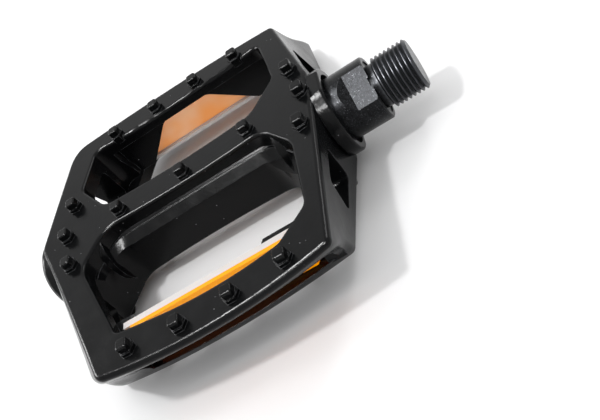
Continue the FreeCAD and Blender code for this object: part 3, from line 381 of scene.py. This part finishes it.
def milky_polystyrene():
    """Thin white polystyrene: white flanges, and a back with painted amber light, as the amber lens tints
    it from behind.
    """
    material, tree, shader, place = new_material("milky_polystyrene")
    back = add(
        tree, "ShaderNodeMapRange",
        inputs={"Value": height_from_axle(tree, place), "From Min": HOUSING_FLANGE[1],
                "From Max": HOUSING_FLANGE[0]},
    ).outputs["Result"]
    cloud = add(tree, "ShaderNodeTexNoise", inputs={"Vector": place, "Scale": 1 / (14 * MM), "Detail": 2.0})
    share = add(
        tree, "ShaderNodeMapRange",
        inputs={"Value": cloud.outputs["Fac"], "From Min": 0.35, "From Max": 0.65},
    )
    # painted light: the amber light that comes through the lens onto the back, cloudy in tone
    painted_lens_light = add(
        tree, "ShaderNodeMix", COLOUR,
        {SHARE: share.outputs["Result"], FIRST: linear("#ee9c50"), SECOND: linear("#efbf94")},
    )
    colour = add(
        tree, "ShaderNodeMix", COLOUR, {SHARE: back, FIRST: linear("#d2cbc8"), SECOND: painted_lens_light.outputs[MIXED]}
    )
    tree.links.new(colour.outputs[MIXED], shader.inputs["Base Color"])
    shader.inputs["Roughness"].default_value = 0.35
    shader.inputs["IOR"].default_value = 1.5
    shader.inputs["Subsurface Weight"].default_value = 0.3
    shader.inputs["Subsurface Radius"].default_value = (1.0, 0.75, 0.6)
    shader.inputs["Subsurface Scale"].default_value = 1.5 * MM
    tree.links.new(painted_lens_light.outputs[MIXED], shader.inputs["Emission Color"])
    # painted glow: light that comes through the lens is painted as a glow that lifts the back, and not the
    # flanges
    glow = add(tree, "ShaderNodeMath", {"operation": "MULTIPLY"}, {0: back, 1: 0.3})
    tree.links.new(glow.outputs[0], shader.inputs["Emission Strength"])
    waves = add(
        tree, "ShaderNodeTexNoise", inputs={"Vector": place, "Scale": 1 / (1.5 * MM), "Detail": 2.0}
    )
    skin = add(
        tree, "ShaderNodeBump",
        inputs={"Height": waves.outputs["Fac"], "Distance": 0.01 * MM, "Strength": 1.0},
    )
    tree.links.new(skin.outputs["Normal"], shader.inputs["Normal"])
    return material


def dress(node_name, material):
    """Give a CAD node its material."""
    for material_slot in nodes[node_name].material_slots:
        material_slot.material = material


bearing_steel = ground_steel("ground_bearing_steel", "#a9aaad", "#bfc0c3", 0.18, 0.30)
zinc_plate = ground_steel("zinc_plated_steel", "#a3a6a8", "#c3c4c0", 0.25, 0.42)
amber = amber_acrylic()
milky = milky_polystyrene()
dress("pedal_body", painted_casting())
dress("spindle", black_oxide_steel())
dress("dust_cap", moulded_black("moulded_nylon_cap", "#121213", "#1a1a1b", 0.42, 0.55, 0.35))
dress("inner_dust_seal", moulded_black("nitrile_seal", "#111112", "#171718", 0.50, 0.65, 0.2))
for name in ("inner_bearing_cup", "outer_bearing_cup", "outer_cone",
             "inner_bearing_balls", "outer_bearing_balls"):
    dress(name, bearing_steel)
for name in ("lock_washer", "lock_nut"):
    dress(name, zinc_plate)
for side in ("front", "rear"):
    dress(f"{side}_reflector_lens", amber)
    dress(f"{side}_reflector_housing", milky)


# ---------------------------------------------------------------- floor, backdrop and light

FLOOR_REACH = 3.0
FLOOR_GAP = 0.2 * MM
WORLD_STRENGTH = 0.84
LIGHT_AIM = Vector((-52, 0, 0)) * MM


def white_floor():
    """Large pale floor just under the lowest studs."""
    mesh = bmesh.new()
    bmesh.ops.create_grid(mesh, x_segments=1, y_segments=1, size=FLOOR_REACH)
    data = bpy.data.meshes.new("floor")
    bmesh.ops.translate(mesh, verts=mesh.verts, vec=(0, 0, cad_box[0][2] - FLOOR_GAP))
    mesh.to_mesh(data)
    mesh.free()
    floor = bpy.data.objects.new("floor", data)
    bpy.context.scene.collection.objects.link(floor)
    # matt white paper, hardly uneven in tone
    material, tree, shader, place = new_material("white_paper")
    cloud = add(tree, "ShaderNodeTexNoise", inputs={"Vector": place, "Scale": 1 / (60 * MM), "Detail": 2.0})
    tone = add(
        tree, "ShaderNodeMix", COLOUR,
        {SHARE: cloud.outputs["Fac"], FIRST: linear("#f4f4f5"), SECOND: linear("#f8f8f8")},
    )
    tree.links.new(tone.outputs[MIXED], shader.inputs["Base Color"])
    shader.inputs["Roughness"].default_value = 0.8
    data.materials.append(material)


def soft_light(name, direction, distance, size, watts, gloss_only=False):
    """Soft box that faces the middle of the pedal, or one that shows only in its gloss."""
    data = bpy.data.lights.new(name, "AREA")
    data.shape = "RECTANGLE"
    data.size = size[0]
    data.size_y = size[1]
    data.energy = watts
    lamp = bpy.data.objects.new(name, data)
    away = Vector(direction).normalized()
    lamp.location = LIGHT_AIM + away * distance
    lamp.rotation_euler = away.to_track_quat("Z", "Y").to_euler()
    lamp.visible_diffuse = not gloss_only
    bpy.context.scene.collection.objects.link(lamp)


def white_world():
    """Even white surroundings for what the camera and the gloss see, dimmer as a light."""
    world = bpy.data.worlds.new("studio")
    bpy.context.scene.world = world
    world.use_nodes = True
    tree = world.node_tree
    tree.nodes.clear()
    path = add(tree, "ShaderNodeLightPath")
    straight = add(
        tree, "ShaderNodeMath", {"operation": "MAXIMUM"},
        {0: path.outputs["Is Camera Ray"], 1: path.outputs["Is Transmission Ray"]},
    )
    seen = add(
        tree, "ShaderNodeMath", {"operation": "MAXIMUM"},
        {0: straight.outputs[0], 1: path.outputs["Is Glossy Ray"]},
    )
    strength = add(
        tree, "ShaderNodeMapRange",
        inputs={"Value": seen.outputs[0], "To Min": WORLD_STRENGTH, "To Max": 1.0},
    )
    shade = add(
        tree, "ShaderNodeBackground",
        inputs={"Color": linear("#ffffff"), "Strength": strength.outputs["Result"]},
    )
    add(tree, "ShaderNodeOutputWorld", inputs={"Surface": shade.outputs[0]})


white_floor()
white_world()
soft_light("overhead", (-0.25, -0.22, 0.94), 0.9, (0.07, 0.07), 2.6)
soft_light("from_behind", (0.75, 0.75, 0.8), 0.9, (0.25, 0.25), 1.5)
soft_light("rim_gloss_front", (0.05, -0.45, 0.89), 0.8, (0.35, 0.12), 11.0, gloss_only=True)
soft_light("rim_gloss_left", (-0.80, 0.30, 0.52), 0.8, (0.35, 0.25), 5.0, gloss_only=True)
soft_light("rim_gloss_top", (-0.30, 0.12, 0.95), 0.8, (0.14, 0.28), 12.0, gloss_only=True)
bpy.context.scene.view_settings.view_transform = "Standard"
